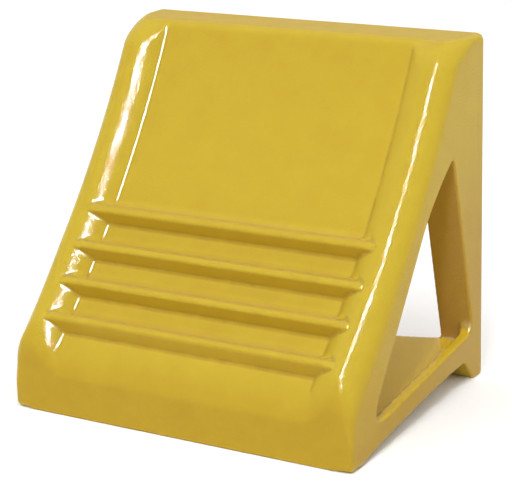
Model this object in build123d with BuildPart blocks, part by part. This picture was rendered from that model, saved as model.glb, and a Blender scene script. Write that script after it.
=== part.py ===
from build123d import *
import math
import os

os.makedirs("parts", exist_ok=True)

# Overall size (mm). Toe faces -Y, rear faces +Y, the chock stands on z = 0.
width = 203.0
depth = 155.0
height = 190.0

# Ramp: part of a cylinder about a cross axis, set out from the toe line and the ground
crest_radius = 550.0
crest_top_depth = 116.5
crest_top_angle = 61.5
recess_depth = 8.3
recess_half_width = 75.7

# Raised rims
rim_outer_round = 15.0
rim_inner_round = 10.0
rim_wall_angle = 57.0

# Side window
window_toe = (30.3, 30.0)
window_shoulder = (98.0, 121.1)
window_crown = (107.0, 128.0)
window_apex = (117.2, 131.5)
window_rear_slope = 0.2495

# Base
toe_land = 4.0
arch_mid = (70.0, 8.9)
arch_end = (132.6, 13.4)
foot_pad_depth = 10.0
floor_thickness = 7.2
floor_rear_mid = 130.8
floor_rear_side = 144.8
flange_thickness = 5.5
sill_front_height = 16.0
sill_slope = 0.1085

# Rear legs: distance of the inner face from the middle
leg_inner = 81.2

# Grip ribs: distance of the first lower tip edge down the ramp, then the pitch
rib_count = 4
rib_first = 111.9
rib_pitch = 21.75
rib_tip_width = 3.9
rib_side_run = 3.1
rib_tip_drop = 0.4

# Edge rounding
toe_corner_round = 5.0
rear_corner_round = 1.5
top_edge_round = 3.5

half_width = width / 2
toe_y = -depth / 2
header_base = window_apex[1]
crest_x = half_width - rim_outer_round
floor_radius = crest_radius + recess_depth
axis_depth = crest_top_depth - crest_radius * math.sin(math.radians(crest_top_angle))
axis_height = height + crest_radius * math.cos(math.radians(crest_top_angle))
ramp_axis = Axis((0, toe_y + axis_depth, axis_height), (1, 0, 0))
radial_plane = Plane(
    origin=(0, toe_y + axis_depth, axis_height), x_dir=(1, 0, 0), z_dir=(0, 1, 0)
)
foot_top = arch_end[1]


def side_plane(x):
    """Upright plane at x: its first direction runs back from the toe, its second up."""
    return Plane(origin=(x, toe_y, 0), x_dir=(0, 1, 0), z_dir=(1, 0, 0))


def leg_front(z):
    """Depth of the legs' front face at height z."""
    return window_apex[0] + (header_base - z) * window_rear_slope


def sill(y):
    """Height of the flange's top edge at depth y."""
    return sill_front_height + sill_slope * (y - window_toe[0])


def sill_rear_height():
    """Height at which the flange's top edge meets the leg's front face."""
    rise = sill_slope * (leg_front(0) - window_toe[0])
    return (sill_front_height + rise) / (1 + sill_slope * window_rear_slope)


def arch(y):
    """Height of the underside at depth y, on the circle through its three set points."""
    (y1, z1), (y2, z2), (y3, z3) = (toe_land, 0.0), arch_mid, arch_end
    d = 2 * (y1 * (z2 - z3) + y2 * (z3 - z1) + y3 * (z1 - z2))
    s1, s2, s3 = y1**2 + z1**2, y2**2 + z2**2, y3**2 + z3**2
    yc = (s1 * (z2 - z3) + s2 * (z3 - z1) + s3 * (z1 - z2)) / d
    zc = (s1 * (y3 - y2) + s2 * (y1 - y3) + s3 * (y2 - y1)) / d
    return zc + math.sqrt((y1 - yc) ** 2 + (z1 - zc) ** 2 - (y - yc) ** 2)


def ramp_point(radius, s):
    """Depth and height of a ramp point a distance s down the crest from its top."""
    angle = math.radians(crest_top_angle) - s / crest_radius
    return axis_depth + radius * math.sin(angle), axis_height - radius * math.cos(angle)


def rim_wall():
    """Rim's inner side in the radial plane: recess crease, wall top, arc middle, crest."""
    full = math.radians(rim_wall_angle)
    points = [(recess_half_width, floor_radius)]
    for angle in (full, full / 2, 0.0):
        x = crest_x - rim_inner_round * math.sin(angle)
        points.append((x, crest_radius + rim_inner_round * (1 - math.cos(angle))))
    return points


def rim_round():
    """Rim's outer rounding in the radial plane, from the crest to the side face."""
    points = []
    for angle in (0.0, math.radians(45), math.radians(90)):
        x = crest_x + rim_outer_round * math.sin(angle)
        points.append((x, crest_radius + rim_outer_round * (1 - math.cos(angle))))
    return points


def on_side(points, side):
    """The points on the left (-1) or the right (1) of the middle."""
    return [(side * x, r) for x, r in points]


def draw_rim_edges(side):
    """Rim's surface line in the radial plane, from the recess crease to the side face."""
    crease, wall_top, arc_mid, crest = on_side(rim_wall(), side)
    Line(crease, wall_top)
    ThreePointArc(wall_top, arc_mid, crest)
    ThreePointArc(*on_side(rim_round(), side))


def draw_ramp_side():
    """Side shape of the ramp members, from the nose block up to the header."""
    Polyline(
        window_toe,
        (-1.0, window_toe[1]),
        (-1.0, header_base),
        window_apex,
    )
    ThreePointArc(window_apex, window_crown, window_shoulder)
    Line(window_shoulder, window_toe)


# Plan outline with rounded upright corners, shared by every outer member
with BuildPart() as plan_block:
    with BuildSketch(Plane.XY):
        Rectangle(width, depth)
    extrude(amount=height)
    fillet(plan_block.edges().filter_by(Axis.Z).group_by(Axis.Y)[0], toe_corner_round)
    fillet(plan_block.edges().filter_by(Axis.Z).group_by(Axis.Y)[-1], rear_corner_round)

# Everything under the ramp surface across the full width
with BuildPart() as ramp_body:
    with BuildSketch(radial_plane):
        with BuildLine():
            draw_rim_edges(1)
            Polyline(
                (half_width, crest_radius + rim_outer_round),
                (half_width, crest_radius + height),
                (-half_width, crest_radius + height),
                (-half_width, crest_radius + rim_outer_round),
            )
            draw_rim_edges(-1)
            Line((-recess_half_width, floor_radius), (recess_half_width, floor_radius))
        make_face()
    revolve(axis=ramp_axis, revolution_arc=80)

# Space of the ramp recess, which the ribs stand in
with BuildPart() as recess_space:
    with BuildSketch(radial_plane):
        crease_r, wall_r, arc_r, crest_r = on_side(rim_wall(), 1)
        crease_l, wall_l, arc_l, crest_l = on_side(rim_wall(), -1)
        with BuildLine():
            Line(crease_l, crease_r)
            Line(crease_r, wall_r)
            ThreePointArc(wall_r, arc_r, crest_r)
            Line(crest_r, crest_l)
            ThreePointArc(crest_l, arc_l, wall_l)
            Line(wall_l, crease_l)
        make_face()
    revolve(axis=ramp_axis, revolution_arc=80)

# Top header: the block above the windows
with BuildPart() as top_header:
    with BuildSketch(side_plane(-half_width)):
        with BuildLine():
            Polyline(
                (0, header_base),
                (depth, header_base),
                (depth, height),
                (0, height),
                close=True,
            )
        make_face()
    extrude(amount=width)
    add(plan_block.part, mode=Mode.INTERSECT)
    add(ramp_body.part, mode=Mode.INTERSECT)
    fillet(top_header.edges().group_by(Axis.Z)[-1], top_edge_round)

top_header.part.label = "top_header"
export_step(top_header.part, "parts/top_header.step")

# Ramp plate: the recessed skin between the rims
with BuildPart() as ramp_plate:
    with BuildSketch(side_plane(-recess_half_width)):
        with BuildLine():
            draw_ramp_side()
        make_face()
    extrude(amount=2 * recess_half_width)
    add(plan_block.part, mode=Mode.INTERSECT)
    add(ramp_body.part, mode=Mode.INTERSECT)

ramp_plate.part.label = "ramp_plate"
export_step(ramp_plate.part, "parts/ramp_plate.step")

# Nose block: the low toe across the full width
with BuildPart() as nose_block:
    with BuildSketch(side_plane(-half_width)):
        with BuildLine():
            arch_start = (toe_land, 0.0)
            nose_rear = (window_toe[0], arch(window_toe[0]))
            middle = (toe_land + window_toe[0]) / 2
            Polyline(arch_start, (0, 0), (0, window_toe[1]), window_toe, nose_rear)
            ThreePointArc(nose_rear, (middle, arch(middle)), arch_start)
        make_face()
    extrude(amount=width)
    add(plan_block.part, mode=Mode.INTERSECT)
    add(ramp_body.part, mode=Mode.INTERSECT)

nose_block.part.label = "nose_block"
export_step(nose_block.part, "parts/nose_block.step")

# Base floor: the thin arched plate with its hollowed rear edge
with BuildPart() as base_floor:
    inner = half_width - flange_thickness
    with BuildSketch(side_plane(-inner)):
        with BuildLine():
            y0 = window_toe[0]
            y1 = arch_end[0]
            ym = (y0 + y1) / 2
            top_rear = foot_top + floor_thickness
            ThreePointArc((y0, arch(y0)), (ym, arch(ym)), (y1, foot_top))
            Polyline(
                (y1, foot_top),
                (leg_front(foot_top), foot_top),
                (leg_front(top_rear), top_rear),
                (y1, top_rear),
            )
            ThreePointArc(
                (y1, top_rear),
                (ym, arch(ym) + floor_thickness),
                (y0, arch(y0) + floor_thickness),
            )
            Line((y0, arch(y0) + floor_thickness), (y0, arch(y0)))
        make_face()
    extrude(amount=2 * inner)
    with BuildSketch(Plane(origin=(0, toe_y, 0))):
        with BuildLine():
            left_end = (-leg_inner, floor_rear_side)
            right_end = (leg_inner, floor_rear_side)
            ThreePointArc(left_end, (0, floor_rear_mid), right_end)
            Polyline(right_end, (leg_inner, depth), (-leg_inner, depth), left_end)
        make_face()
    extrude(amount=height, mode=Mode.SUBTRACT)

base_floor.part.label = "base_floor"
export_step(base_floor.part, "parts/base_floor.step")

# Side rims, base rails, rear legs and rear feet: one of each on either side
for name, side in (("left", -1), ("right", 1)):
    outer_start = -half_width if side < 0 else recess_half_width
    with BuildPart() as rim:
        with BuildSketch(side_plane(outer_start)):
            with BuildLine():
                draw_ramp_side()
            make_face()
        extrude(amount=half_width - recess_half_width)
        add(plan_block.part, mode=Mode.INTERSECT)
        add(ramp_body.part, mode=Mode.INTERSECT)

    rim.part.label = name + "_rim"
    export_step(rim.part, "parts/" + name + "_rim.step")

    rail_start = -half_width if side < 0 else half_width - flange_thickness
    with BuildPart() as rail:
        with BuildSketch(side_plane(rail_start)):
            with BuildLine():
                y0 = window_toe[0]
                y1 = arch_end[0]
                ym = (y0 + y1) / 2
                meet = sill_rear_height()
                ThreePointArc((y0, arch(y0)), (ym, arch(ym)), (y1, foot_top))
                Polyline(
                    (y1, foot_top),
                    (leg_front(foot_top), foot_top),
                    (leg_front(meet), meet),
                    (y0, sill(y0)),
                    (y0, arch(y0)),
                )
            make_face()
        extrude(amount=flange_thickness)

    rail.part.label = name + "_base_rail"
    export_step(rail.part, "parts/" + name + "_base_rail.step")

    leg_start = -half_width if side < 0 else leg_inner
    with BuildPart() as leg:
        with BuildSketch(side_plane(leg_start)):
            with BuildLine():
                Polyline(
                    (leg_front(header_base), header_base),
                    (leg_front(foot_top), foot_top),
                    (depth, foot_top),
                    (depth, header_base),
                    close=True,
                )
            make_face()
        extrude(amount=half_width - leg_inner)
        add(plan_block.part, mode=Mode.INTERSECT)

    leg.part.label = name + "_rear_leg"
    export_step(leg.part, "parts/" + name + "_rear_leg.step")

    with BuildPart() as foot:
        with BuildSketch(side_plane(leg_start)):
            with BuildLine():
                Polyline(
                    arch_end,
                    (depth - foot_pad_depth, 0),
                    (depth, 0),
                    (depth, foot_top),
                    close=True,
                )
            make_face()
        extrude(amount=half_width - leg_inner)
        add(plan_block.part, mode=Mode.INTERSECT)

    foot.part.label = name + "_rear_foot"
    export_step(foot.part, "parts/" + name + "_rear_foot.step")

# Grip ribs, the highest first
for number in range(rib_count):
    lower_tip = rib_first + number * rib_pitch
    upper_tip = lower_tip - rib_tip_width
    tip_radius = crest_radius + rib_tip_drop
    foot_radius = floor_radius + 1.0
    slope = rib_side_run / (recess_depth - rib_tip_drop)
    run = slope * (foot_radius - tip_radius)
    with BuildPart() as rib:
        with BuildSketch(side_plane(-crest_x)):
            with BuildLine():
                Polyline(
                    ramp_point(tip_radius, upper_tip),
                    ramp_point(tip_radius, lower_tip),
                    ramp_point(foot_radius, lower_tip + run),
                    ramp_point(foot_radius, upper_tip - run),
                    close=True,
                )
            make_face()
        extrude(amount=2 * crest_x)
        add(recess_space.part, mode=Mode.INTERSECT)

    rib.part.label = "grip_rib_" + str(number + 1)
    export_step(rib.part, "parts/grip_rib_" + str(number + 1) + ".step")
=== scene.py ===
"""Looks of the moulded polyurethane wheel chock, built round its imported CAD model."""

import math

import bpy
import numpy as np
from mathutils import Matrix, Vector


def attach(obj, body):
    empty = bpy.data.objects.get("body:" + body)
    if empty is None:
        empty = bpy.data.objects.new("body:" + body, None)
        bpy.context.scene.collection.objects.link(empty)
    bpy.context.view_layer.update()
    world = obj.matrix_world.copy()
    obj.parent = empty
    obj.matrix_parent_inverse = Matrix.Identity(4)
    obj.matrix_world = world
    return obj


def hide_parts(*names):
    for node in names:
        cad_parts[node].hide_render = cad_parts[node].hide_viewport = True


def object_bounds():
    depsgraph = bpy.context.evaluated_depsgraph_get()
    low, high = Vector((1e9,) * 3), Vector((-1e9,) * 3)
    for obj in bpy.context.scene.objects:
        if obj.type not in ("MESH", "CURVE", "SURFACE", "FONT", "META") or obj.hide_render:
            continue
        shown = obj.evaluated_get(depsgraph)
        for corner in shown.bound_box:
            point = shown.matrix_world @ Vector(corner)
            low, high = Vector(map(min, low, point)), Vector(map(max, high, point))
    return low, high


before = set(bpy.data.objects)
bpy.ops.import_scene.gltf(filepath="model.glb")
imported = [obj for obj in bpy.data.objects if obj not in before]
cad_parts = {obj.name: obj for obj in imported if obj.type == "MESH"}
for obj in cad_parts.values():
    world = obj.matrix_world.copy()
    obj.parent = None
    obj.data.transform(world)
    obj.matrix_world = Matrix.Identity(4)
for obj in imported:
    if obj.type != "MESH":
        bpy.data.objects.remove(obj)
cad_low, cad_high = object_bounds()

# ---------------------------------------------------------------- dimensions, mm
# x from the middle, y back from the toe, z up from the ground; every *_X, *_Y, *_Z,
# *_FROM or *_BELOW pair is the range over which a blend runs from none to full
WIDTH = (cad_high.x - cad_low.x) * 1000
DEPTH = (cad_high.y - cad_low.y) * 1000
HEIGHT = (cad_high.z - cad_low.z) * 1000
HALF = WIDTH / 2
TOE_Y = cad_low.y * 1000

# the rims' crest: a cylinder, its cross axis in front of the chock and above it
CREST_R = 550.0
CREST_TOP = (116.5, HEIGHT)
CREST_TOP_ANGLE = math.radians(61.5)
AXIS_Y = CREST_TOP[0] - CREST_R * math.sin(CREST_TOP_ANGLE)
AXIS_Z = CREST_TOP[1] + CREST_R * math.cos(CREST_TOP_ANGLE)

# the ramp face, sunk between the rims
RECESS = 8.3
RECESS_HALF = 75.7
WALL_ANGLE = math.radians(57)
CREASE = 0.55  # fillet where a rim's wall meets the face
RIM_INNER = 10.0

# roundings of the outer edges, and how much they grow or shrink along them
RIM_OUTER, RIM_UPPER_LESS = 15.0, 3.0
RIM_UPPER_Z = (35.0, 85.0)
TOP_ROUND, RIM_END_MORE = 4.0, 9.5
RIM_END_X, BEHIND_RIM_Y = (72.0, 86.0), (119.0, 143.0)
TOE_ROUND, TOE_UPPER_MORE, TOE_SIDE_LESS = 6.0, 3.0, 4.0
TOE_UPPER_Z, TOE_SIDE_X = (12.0, 28.0), (86.0, 97.0)
REAR_ROUND = 1.5
BASE_ROUND, TOE_CORNER_MORE = 1.0, 2.5
TOE_CORNER_X, BEHIND_TOE_Y = (88.0, 98.0), (3.0, 12.0)

# grip ribs, measured down the ramp from the crest's top
RIB_FIRST, RIB_PITCH, RIB_COUNT = 111.9, 21.75, 4
RIB_TIP, RIB_RUN = 3.9, 3.1  # width of the tip, run of each flank
RIB_DROP, RIB_END_DROP = 0.2, 0.7  # tip below the crest, and the extra at its ends
RIB_END_X = (81.0, 86.0)
RIB_REACH = 30.0  # how far below the crest a rib is carried
RIB_ROUND, RIB_BACK_MORE, RIB_BACK_FROM = 0.9, 0.9, (1.5, 2.4)
ROOT_FILLET, ROOT_BACK_MORE, ROOT_BACK_FROM = 1.2, 3.0, (3.0, 6.0)
ROOT_LEAST, ROOT_BELOW = 0.4, (0.8, 4.5)

# windows, legs, rails and floor; the points are (y, z)
WINDOW_TOE = (28.5, 27.6)
WINDOW_SHOULDER = (98.0, 121.1)
WINDOW_APEX = (117.2, 131.5)
WINDOW_TOP_SLOPE = 0.465
LEG_SLOPE = 0.2495
SILL_Y, SILL_Z, SILL_SLOPE = 30.3, 16.0, 0.1085
FLANGE = 5.5
FLOOR_THICK = 7.2
ARCH_MID, ARCH_END = (70.0, 8.9), (132.6, 13.4)
TOE_LAND = 4.0
FOOT_PAD = 10.0
LEG_INNER = 81.2
FLOOR_CUT_R, FLOOR_REAR_MID = 226.0, 130.8
LEG_ROUND = 1.5
SLAB_ROUND = 1.2
FLANGE_ROUND = 0.6
GROUND_ROUND = 0.5
OPENING_ROUND = 1.1
FOOT_FILLET = 2.0
SLAB_FILLET = 2.0
SHOULDER_FILLET = 14.0
LEG_FILLET, LEG_FLANGE_MORE = 2.0, 6.0
WINDOW_FILLET, WINDOW_TOE_MORE = 3.0, 11.0
FLANGE_X, BEHIND_WINDOW_TOE_Y = (91.0, 96.5), (50.0, 70.0)

# ---------------------------------------------------------------- mesh, mm
CELL = 1.2  # spacing of the skin's mesh
GRID_START = (0.31, 0.37)  # in cells: keeps flat faces off the grid's points
SETTLE_STEPS, SETTLE_REACH = 4, 0.02
NORMAL_REACH = 0.35
BEND_REACH = 1.0

# ---------------------------------------------------------------- looks
SKY = np.array([0.0, -0.35, 0.937])  # the side that the painted light and shade are worked out from
# the face yellow is the lit colour; the amber below it is painted shade, and is also used for
# fine specks
FACE_YELLOW = (0.515, 0.37, 0.03, 1)
SHADE_AND_SPECK_AMBER = (0.405, 0.245, 0.016, 1)
# paler yellow painted on up-facing inner faces: painted light
LEDGE_LIGHT_YELLOW = (0.60, 0.405, 0.024, 1)
# deeper colour of the walls inside the openings: partly their own rough cut surface, partly
# painted shade
CUT_WALL_SHADE = (0.44, 0.255, 0.034, 1)
# brown painted as shade in the hollows, also the wear colour of scuffed edges
SHADE_AND_SCUFF = (0.27, 0.155, 0.022, 1)
SPECULAR = 0.1
RELIEF = 0.00015  # m, height of the bump
FINE_SHARE, SCRATCH_SHARE = 0.4, 2.0  # against the coarser peel's 1

IMAGE_WIDTH = 512
CAMERA_AT = (0.48787, -0.81338, 0.37291)
CAMERA_TURN = (30.66, 17.12, -1.66)  # azimuth, elevation and roll, degrees
CAMERA_LENS = 131.07
CAMERA_SHIFT = (-1.3, 1.2)  # pixels
FLOOR_HALF = 6.0
STRIP_LOW = Vector((0.65, -2.03, 1.50))
STRIP_HIGH = Vector((0.48, -0.75, 2.44))
STRIP_AIM = Vector((0, 0, 0.1))
STRIP_OVERHANG = 1.15


# ---------------------------------------------------------------- distance fields
def both(a, b, r):
    """Inside both shapes, outer edges rounded to radius r."""
    corner = np.hypot(np.maximum(a + r, 0), np.maximum(b + r, 0))
    return np.minimum(-r, np.maximum(a, b)) + corner


def either(a, b, r):
    """Inside either shape, inner corners filleted to radius r."""
    return -both(-a, -b, r)


def line(y, z, start, end):
    """Distance from the line through two points, positive on its left."""
    dy, dz = end[0] - start[0], end[1] - start[1]
    length = math.hypot(dy, dz)
    return ((z - start[1]) * dy - (y - start[0]) * dz) / length


def circle_through(p, q, s):
    """Centre and radius of the circle through three points."""
    d = 2 * (p[0] * (q[1] - s[1]) + q[0] * (s[1] - p[1]) + s[0] * (p[1] - q[1]))
    pp, qq, ss = (a[0] ** 2 + a[1] ** 2 for a in (p, q, s))
    y = (pp * (q[1] - s[1]) + qq * (s[1] - p[1]) + ss * (p[1] - q[1])) / d
    z = (pp * (s[0] - q[0]) + qq * (p[0] - s[0]) + ss * (q[0] - p[0])) / d
    return y, z, math.hypot(p[0] - y, p[1] - z)


ARCH_Y, ARCH_Z, ARCH_R = circle_through((TOE_LAND, 0.0), ARCH_MID, ARCH_END)


def smooth(value, low, high):
    """0 below low, 1 above high, an even rise between."""
    t = np.clip((value - low) / (high - low), 0, 1)
    return t * t * (3 - 2 * t)


def outer_shape(ax, y, z):
    """The full block: ramp, rims, recess, sides, top, toe, rear and ribs."""
    below = np.hypot(y - AXIS_Y, z - AXIS_Z) - CREST_R
    wall = (ax - RECESS_HALF) * math.sin(WALL_ANGLE) + (below - RECESS) * math.cos(WALL_ANGLE)
    ramp = both(-below, either(RECESS - below, -wall, CREASE), RIM_INNER)
    shape = both(ramp, ax - HALF, RIM_OUTER - RIM_UPPER_LESS * smooth(z, *RIM_UPPER_Z))
    at_rim_end = smooth(ax, *RIM_END_X) * (1 - smooth(y, *BEHIND_RIM_Y))
    shape = both(shape, z - HEIGHT, TOP_ROUND + RIM_END_MORE * at_rim_end)
    toe_round = TOE_ROUND + TOE_UPPER_MORE * smooth(z, *TOE_UPPER_Z)
    shape = both(shape, -y, toe_round - TOE_SIDE_LESS * smooth(ax, *TOE_SIDE_X))
    shape = both(shape, y - DEPTH, REAR_ROUND)
    return add_ribs(shape, ax, y, z, below)


def add_ribs(shape, ax, y, z, below):
    """The shape with the grip ribs standing on its ramp face."""
    angle = np.arctan2(y - AXIS_Y, AXIS_Z - z)
    along = (CREST_TOP_ANGLE - angle) * CREST_R
    lean = math.hypot(RECESS, RIB_RUN)
    tip = RIB_DROP + RIB_END_DROP * smooth(ax, *RIB_END_X)
    for number in range(RIB_COUNT):
        edge = RIB_FIRST + number * RIB_PITCH
        front = ((along - edge) * RECESS - below * RIB_RUN) / lean
        back = ((edge - RIB_TIP - along) * RECESS - below * RIB_RUN) / lean
        tip_round = RIB_ROUND + RIB_BACK_MORE * smooth(edge - along, *RIB_BACK_FROM)
        rib = both(both(front, back, RIB_ROUND), tip - below, tip_round)
        rib = np.maximum(rib, ax - (HALF - RIM_OUTER))
        rib = np.maximum(rib, below - RIB_REACH)
        root = ROOT_FILLET + ROOT_BACK_MORE * smooth(edge - along, *ROOT_BACK_FROM)
        shape = either(shape, rib, root * smooth(below, *ROOT_BELOW) + ROOT_LEAST)
    return shape


def arch_depth(y, z):
    """Distance below the arch and its level end, negative above them."""
    arc = ARCH_R - np.hypot(y - ARCH_Y, z - ARCH_Z)
    return np.where(y < ARCH_END[0], arc, ARCH_END[1] - z)


def underside(ax, y, z):
    """Above the arch, or inside a rear foot, and never under the ground."""
    arch = np.where(y < TOE_LAND, -z, arch_depth(y, z))
    slant = -line(y, z, ARCH_END, (DEPTH - FOOT_PAD, 0.0))
    foot = both(slant, LEG_INNER - ax, LEG_ROUND)
    return both(either(arch, foot, FOOT_FILLET), -z, GROUND_ROUND)


def inner_members(ax, y, z):
    """Front plate, header, rear legs, rails and floor round the open inside."""
    plate = -line(y, z, WINDOW_TOE, WINDOW_SHOULDER)
    top_start = (WINDOW_APEX[0] - 10, WINDOW_APEX[1] - 10 * WINDOW_TOP_SLOPE)
    header = -line(y, z, top_start, WINDOW_APEX)
    rear_low = (WINDOW_APEX[0] + WINDOW_APEX[1] * LEG_SLOPE, 0.0)
    leg = both(line(y, z, rear_low, WINDOW_APEX), LEG_INNER - ax, LEG_ROUND)
    floor_top = -arch_depth(y, z) - FLOOR_THICK
    rear_edge = FLOOR_CUT_R - np.hypot(ax, y - FLOOR_REAR_MID - FLOOR_CUT_R)
    slab = both(floor_top, rear_edge, SLAB_ROUND)
    sill_top = (z - SILL_Z - SILL_SLOPE * (y - SILL_Y)) / math.hypot(1, SILL_SLOPE)
    rail = both(sill_top, HALF - FLANGE - ax, FLANGE_ROUND)
    base = either(slab, rail, SLAB_FILLET)
    return plate, header, leg, base


def inner_value(ax, y, z):
    """The inner members joined, their corners wider out at the flange."""
    plate, header, leg, base = inner_members(ax, y, z)
    at_flange = smooth(ax, *FLANGE_X)
    upper = either(plate, header, SHOULDER_FILLET)
    lower = either(leg, base, LEG_FILLET + LEG_FLANGE_MORE * at_flange)
    widening = WINDOW_TOE_MORE * at_flange * (1 - smooth(y, *BEHIND_WINDOW_TOE_Y))
    return either(upper, lower, WINDOW_FILLET + widening)


def outer_value(ax, y, z):
    """The block cut by its arched underside, its toe corners eased."""
    easing = TOE_CORNER_MORE * smooth(ax, *TOE_CORNER_X) * (1 - smooth(y, *BEHIND_TOE_Y))
    return both(outer_shape(ax, y, z), underside(ax, y, z), BASE_ROUND + easing)


def chock(x, y, z):
    """Signed distance of the whole moulding, negative inside."""
    ax = np.abs(x)
    return both(outer_value(ax, y, z), inner_value(ax, y, z), OPENING_ROUND)


# ---------------------------------------------------------------- skin
def gradient(points, step):
    """Slope of the distance field at the points."""
    slope = np.empty_like(points)
    for axis in range(3):
        ahead, behind = points.copy(), points.copy()
        ahead[:, axis] += step
        behind[:, axis] -= step
        slope[:, axis] = (chock(*ahead.T) - chock(*behind.T)) / (2 * step)
    return slope


def sample_field(cell):
    """A regular grid's three axes and chock() on it, worked out for one half."""
    margin = 2 * cell
    half_count = int(math.ceil((HALF + margin) / cell))
    xs = (np.arange(2 * half_count) - half_count + 0.5) * cell
    ys = np.arange(-margin, DEPTH + margin, cell) + GRID_START[0] * cell
    zs = np.arange(-margin, HEIGHT + margin, cell) + GRID_START[1] * cell
    field = np.empty((len(xs), len(ys), len(zs)))
    yy, zz = np.meshgrid(ys, zs, indexing="ij")
    for index in range(half_count):
        layer = chock(np.full_like(yy, xs[index]), yy, zz)
        field[index] = layer
        field[-1 - index] = layer
    return xs, ys, zs, field


def cell_crossings(field):
    """Which cells the surface runs through, and its mean place in each of them."""
    shape = tuple(n - 1 for n in field.shape)
    total = np.zeros(shape + (3,))
    count = np.zeros(shape)
    corner = [slice(0, -1), slice(1, None)]
    for axis in range(3):
        for first in (0, 1):
            for second in (0, 1):
                low = [corner[first], corner[second]]
                low.insert(axis, corner[0])
                high = list(low)
                high[axis] = corner[1]
                a, b = field[tuple(low)], field[tuple(high)]
                cross = (a < 0) != (b < 0)
                t = np.where(cross, a / np.where(cross, a - b, 1.0), 0.0)
                offset = [float(first), float(second)]
                offset.insert(axis, 0.0)
                for k in range(3):
                    spot = offset[k] + (t if k == axis else 0.0)
                    total[..., k] += np.where(cross, spot, 0.0)
                count += cross
    active = count > 0
    return active, total[active] / count[active][:, None]


def crossing_quads(inside, ids):
    """A quad round each grid edge that the surface crosses, facing outwards."""
    quads = []
    for axis in range(3):
        u, v = (axis + 1) % 3, (axis + 2) % 3
        low = [slice(1, -1)] * 3
        high = [slice(1, -1)] * 3
        low[axis], high[axis] = slice(0, -1), slice(1, None)
        a, b = inside[tuple(low)], inside[tuple(high)]
        for flip in (False, True):
            edge = np.argwhere((~a & b) if flip else (a & ~b))
            edge[:, u] += 1
            edge[:, v] += 1
            ring = []
            for du, dv in ((-1, -1), (0, -1), (0, 0), (-1, 0)):
                cell_at = edge.copy()
                cell_at[:, u] += du
                cell_at[:, v] += dv
                ring.append(ids[tuple(cell_at.T)])
            ring = np.stack(ring, axis=1)
            quads.append(ring[:, ::-1] if flip else ring)
    return np.concatenate(quads)


def surface_net(cell):
    """Vertices and quads of the zero level of chock()."""
    xs, ys, zs, field = sample_field(cell)
    active, local = cell_crossings(field)
    ids = np.full(active.shape, -1, np.int64)
    ids[active] = np.arange(active.sum())
    start = np.array([xs[0], ys[0], zs[0]])
    points = start + (np.argwhere(active) + local) * cell
    return points, crossing_quads(field < 0, ids)


def settle(points):
    """The points moved onto the surface, each by half a cell at most per step."""
    for _ in range(SETTLE_STEPS):
        slope = gradient(points, SETTLE_REACH)
        length = np.maximum((slope**2).sum(1), 0.25)
        move = -(chock(*points.T) / length)[:, None] * slope
        size = np.linalg.norm(move, axis=1)
        move *= np.minimum(1.0, 0.5 * CELL / np.maximum(size, 1e-9))[:, None]
        points = points + move
    return points


def bending(points):
    """How sharply the surface bends, per mm: above 0 on edges, below in hollows."""
    bend = -6 * chock(*points.T)
    for axis in range(3):
        for side in (-BEND_REACH, BEND_REACH):
            moved = points.copy()
            moved[:, axis] += side
            bend += chock(*moved.T)
    return bend / BEND_REACH**2


def surface_masks(points, normals):
    """Per-vertex masks from 0 to 1: which part of the look belongs where."""
    x, y, z = points.T
    ax = np.abs(x)
    rise = normals[:, 2]
    inside = smooth(inner_value(ax, y, z) - outer_value(ax, y, z), -0.6, 0.2)
    level = smooth(rise, 0.85, 0.97) * (1 - inside)
    # painted light: faces open to the sky, then upper sides painted paler, then faces painted
    # as lit from the floor; what is left over is painted shade
    painted_light = np.clip(normals @ SKY, 0, 1) * (1 - 0.15 * inside - 0.45 * level)
    upper_side = smooth(z + 0.6 * (DEPTH - y), 60.0, 170.0)
    painted_light += 0.6 * np.abs(normals[:, 0]) * upper_side * (1 - inside)
    painted_light += 0.35 * np.clip(-3 * rise, 0, 1) * (1 - inside)
    bend = bending(points)
    return {
        # painted shade: amber where little painted light falls, on inner faces, level tops
        # and faces turned from the light
        "painted_shade": np.clip(1 - painted_light, 0, 1),
        "level": level,
        # painted light: paler on up-facing faces inside the openings
        "painted_ledge_light": inside * smooth(rise, 0.5, 0.9),
        "jamb": inside * (1 - smooth(rise, 0.2, 0.8)),
        # also drives painted shade: darker brown painted into the hollows
        "hollow": smooth(-bend, 0.08, 0.7),
        "edge": smooth(bend, 0.15, 0.8),
    }


def build_skin():
    """The whole moulding as one closed mesh, with its normals and masks."""
    points, quads = surface_net(CELL)
    points = settle(points)
    normals = gradient(points, NORMAL_REACH)
    normals /= np.maximum(np.linalg.norm(normals, axis=1), 1e-9)[:, None]
    world = (points + np.array([0.0, TOE_Y, 0.0])) / 1000
    mesh = bpy.data.meshes.new("chock_moulding")
    mesh.vertices.add(len(world))
    mesh.vertices.foreach_set("co", world.astype(np.float32).ravel())
    mesh.loops.add(quads.size)
    mesh.loops.foreach_set("vertex_index", quads.astype(np.int32).ravel())
    mesh.polygons.add(len(quads))
    mesh.polygons.foreach_set("loop_start", np.arange(0, quads.size, 4, dtype=np.int32))
    mesh.update(calc_edges=True)
    mesh.validate()
    mesh.shade_smooth()
    mesh.normals_split_custom_set_from_vertices(normals.tolist())
    for name, values in surface_masks(points, normals).items():
        layer = mesh.attributes.new(name, "FLOAT", "POINT")
        layer.data.foreach_set("value", values.astype(np.float32))
    skin = bpy.data.objects.new("chock_moulding", mesh)
    bpy.context.scene.collection.objects.link(skin)
    return skin


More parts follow.
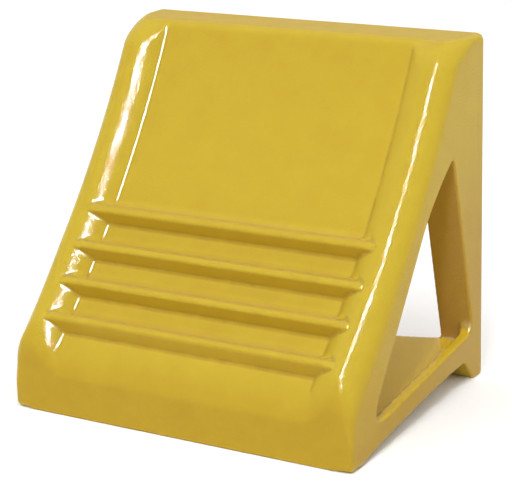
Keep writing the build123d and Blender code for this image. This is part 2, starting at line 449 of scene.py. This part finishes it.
# ---------------------------------------------------------------- material
def polyurethane():
    """Yellow moulded polyurethane: glossy, orange-peel skin, rough cut walls, painted shade
    in the hollows.
    """
    material = bpy.data.materials.new("polyurethane")
    material.use_nodes = True
    nodes, links = material.node_tree.nodes, material.node_tree.links
    shader = nodes["Principled BSDF"]
    place = nodes.new("ShaderNodeTexCoord")

    def feed(socket, value):
        if isinstance(value, (int, float, tuple)):
            socket.default_value = value
        else:
            links.new(value, socket)

    def noise(scale, detail, rough=0.5, stretch=None):
        node = nodes.new("ShaderNodeTexNoise")
        node.inputs["Scale"].default_value = scale
        node.inputs["Detail"].default_value = detail
        node.inputs["Roughness"].default_value = rough
        source = place.outputs["Object"]
        if stretch:
            mapping = nodes.new("ShaderNodeMapping")
            mapping.inputs["Scale"].default_value = stretch
            links.new(source, mapping.inputs["Vector"])
            source = mapping.outputs["Vector"]
        links.new(source, node.inputs["Vector"])
        return node.outputs["Fac"]

    def mask(name):
        node = nodes.new("ShaderNodeAttribute")
        node.attribute_name = name
        return node.outputs["Fac"]

    def maths(operation, a, b, c=0.0, clamp=False):
        node = nodes.new("ShaderNodeMath")
        node.operation = operation
        node.use_clamp = clamp
        for socket, value in zip(node.inputs, (a, b, c)):
            feed(socket, value)
        return node.outputs[0]

    def spread(value, low, high, out_low, out_high):
        node = nodes.new("ShaderNodeMapRange")
        for name, setting in (
            ("Value", value), ("From Min", low), ("From Max", high),
            ("To Min", out_low), ("To Max", out_high),
        ):
            feed(node.inputs[name], setting)
        return node.outputs["Result"]

    def blend(factor, first, second):
        node = nodes.new("ShaderNodeMix")
        node.data_type = "RGBA"
        feed(node.inputs["Factor"], factor)
        feed(node.inputs[6], first)  # 6 and 7 are A and B as colours
        feed(node.inputs[7], second)
        return node.outputs[2]

    painted_shade, jamb, painted_ledge_light = mask("painted_shade"), mask("jamb"), mask("painted_ledge_light")
    hollow, edge, level = mask("hollow"), mask("edge"), mask("level")

    # colour: cloudy pigment, deeper amber as painted shade on faces turned from the light,
    # paler ledges as painted light, cut walls partly darkened as painted shade, then painted
    # shade in the hollows, scuffed edges and fine specks
    cloud = spread(noise(60, 4, 0.6), 0.35, 0.65, -0.06, 0.08)
    # painted shade: deeper amber where the painted-shade mask is high
    colour = blend(maths("ADD", painted_shade, cloud, clamp=True), FACE_YELLOW, SHADE_AND_SPECK_AMBER)
    # painted light: paler yellow on the up-facing inner ledges
    colour = blend(painted_ledge_light, colour, LEDGE_LIGHT_YELLOW)
    cut_and_shade = maths("MULTIPLY", jamb, spread(noise(60, 3), 0.3, 0.7, 0.55, 1.0))
    # partly painted shade: the walls inside the openings painted a deeper, browner amber
    colour = blend(cut_and_shade, colour, CUT_WALL_SHADE)
    hollow_shade = maths("MULTIPLY", hollow, spread(noise(110, 3, 0.6), 0.35, 0.65, 0.3, 0.65))
    # painted shade: darker brown in the hollows
    colour = blend(hollow_shade, colour, SHADE_AND_SCUFF)
    scuff = maths("MULTIPLY", edge, spread(noise(260, 3, 0.7), 0.5, 0.7, 0.0, 0.18))
    colour = blend(scuff, colour, SHADE_AND_SCUFF)
    specks = spread(noise(1300, 2, 0.7), 0.66, 0.78, 0.0, 0.22)
    colour = blend(specks, colour, SHADE_AND_SPECK_AMBER)
    links.new(colour, shader.inputs["Base Color"])

    # roughness: uneven, and dull on cut walls, in hollows, on level tops and scuffs
    rough = spread(noise(55, 3, 0.6), 0.3, 0.7, 0.02, 0.07)
    rough = maths("MULTIPLY_ADD", jamb, 0.45, rough)
    rough = maths("MULTIPLY_ADD", hollow, 0.22, rough)
    rough = maths("MULTIPLY_ADD", level, 0.45, rough)
    rough = maths("MULTIPLY_ADD", scuff, 0.5, rough, clamp=True)
    links.new(rough, shader.inputs["Roughness"])
    shader.inputs["Specular IOR Level"].default_value = SPECULAR

    # relief: pitted orange peel on the skin, level scratches on the cut walls
    peel = maths("MULTIPLY_ADD", noise(1500, 0, 0.5), FINE_SHARE, noise(820, 1, 0.5))
    scratch = noise(900, 4, 0.7, stretch=(0.3, 0.3, 1.6))
    height = maths("MULTIPLY_ADD", maths("MULTIPLY", jamb, scratch), SCRATCH_SHARE, peel)
    bump = nodes.new("ShaderNodeBump")
    bump.inputs["Strength"].default_value = 1.0
    bump.inputs["Distance"].default_value = RELIEF
    links.new(height, bump.inputs["Height"])
    links.new(bump.outputs["Normal"], shader.inputs["Normal"])
    return material


skin = build_skin()
skin.data.materials.append(polyurethane())
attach(skin, "root")
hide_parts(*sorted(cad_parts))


# ---------------------------------------------------------------- floor, camera, lights
def make_floor():
    """A plain pale floor."""
    s = FLOOR_HALF
    mesh = bpy.data.meshes.new("floor")
    mesh.from_pydata([(-s, -s, 0), (s, -s, 0), (s, s, 0), (-s, s, 0)], [], [(0, 1, 2, 3)])
    floor = bpy.data.objects.new("floor", mesh)
    bpy.context.scene.collection.objects.link(floor)
    material = bpy.data.materials.new("floor_pale")
    material.use_nodes = True
    shader = material.node_tree.nodes["Principled BSDF"]
    shader.inputs["Base Color"].default_value = (0.93, 0.93, 0.93, 1)
    shader.inputs["Roughness"].default_value = 0.9
    shader.inputs["Specular IOR Level"].default_value = 0.0
    mesh.materials.append(material)


def make_camera():
    """The camera at the photograph's viewing angle."""
    data = bpy.data.cameras.new("camera")
    camera = bpy.data.objects.new("camera", data)
    bpy.context.scene.collection.objects.link(camera)
    azimuth, elevation, roll = (math.radians(a) for a in CAMERA_TURN)
    forward = Vector((
        -math.sin(azimuth) * math.cos(elevation),
        math.cos(azimuth) * math.cos(elevation),
        -math.sin(elevation),
    ))
    right = forward.cross(Vector((0, 0, 1))).normalized()
    up = right.cross(forward)
    c, s = math.cos(roll), math.sin(roll)
    right, up = c * right + s * up, -s * right + c * up
    turn = Matrix((right, up, -forward)).transposed()
    camera.matrix_world = Matrix.Translation(CAMERA_AT) @ turn.to_4x4()
    data.sensor_width = 36.0
    data.lens = CAMERA_LENS
    data.clip_start, data.clip_end = 0.05, 50
    data.shift_x, data.shift_y = (pixels / IMAGE_WIDTH for pixels in CAMERA_SHIFT)
    bpy.context.scene.camera = camera


def strip_light(start, end, width, power, gloss_only=False):
    """A long soft box between two points, facing the chock, or only its reflection."""
    data = bpy.data.lights.new("strip_light", "AREA")
    data.shape = "RECTANGLE"
    data.size = width
    data.size_y = (end - start).length * STRIP_OVERHANG
    data.energy = power
    lamp = bpy.data.objects.new("strip_light", data)
    bpy.context.scene.collection.objects.link(lamp)
    centre = (start + end) / 2
    back = (centre - STRIP_AIM).normalized()
    across = (end - start).normalized().cross(back).normalized()
    turn = Matrix((across, back.cross(across), back)).transposed()
    lamp.matrix_world = Matrix.Translation(centre) @ turn.to_4x4()
    lamp.visible_diffuse = not gloss_only


def make_world(overhead, horizon):
    """Soft studio light, brightest overhead."""
    world = bpy.data.worlds.new("studio")
    bpy.context.scene.world = world
    world.use_nodes = True
    nodes, links = world.node_tree.nodes, world.node_tree.links
    place = nodes.new("ShaderNodeTexCoord")
    split = nodes.new("ShaderNodeSeparateXYZ")
    grade = nodes.new("ShaderNodeMapRange")
    grade.inputs["To Min"].default_value = horizon
    grade.inputs["To Max"].default_value = overhead
    links.new(place.outputs["Generated"], split.inputs[0])
    links.new(split.outputs["Z"], grade.inputs["Value"])
    background = nodes["Background"]
    background.inputs["Color"].default_value = (1, 1, 1, 1)
    links.new(grade.outputs["Result"], background.inputs["Strength"])


bpy.context.scene.view_settings.view_transform = "Standard"
make_floor()
make_camera()
strip_light(STRIP_LOW, STRIP_HIGH, width=0.22, power=16)
strip_light(STRIP_LOW, STRIP_HIGH, width=0.16, power=1500, gloss_only=True)
make_world(overhead=1.40, horizon=0.58)
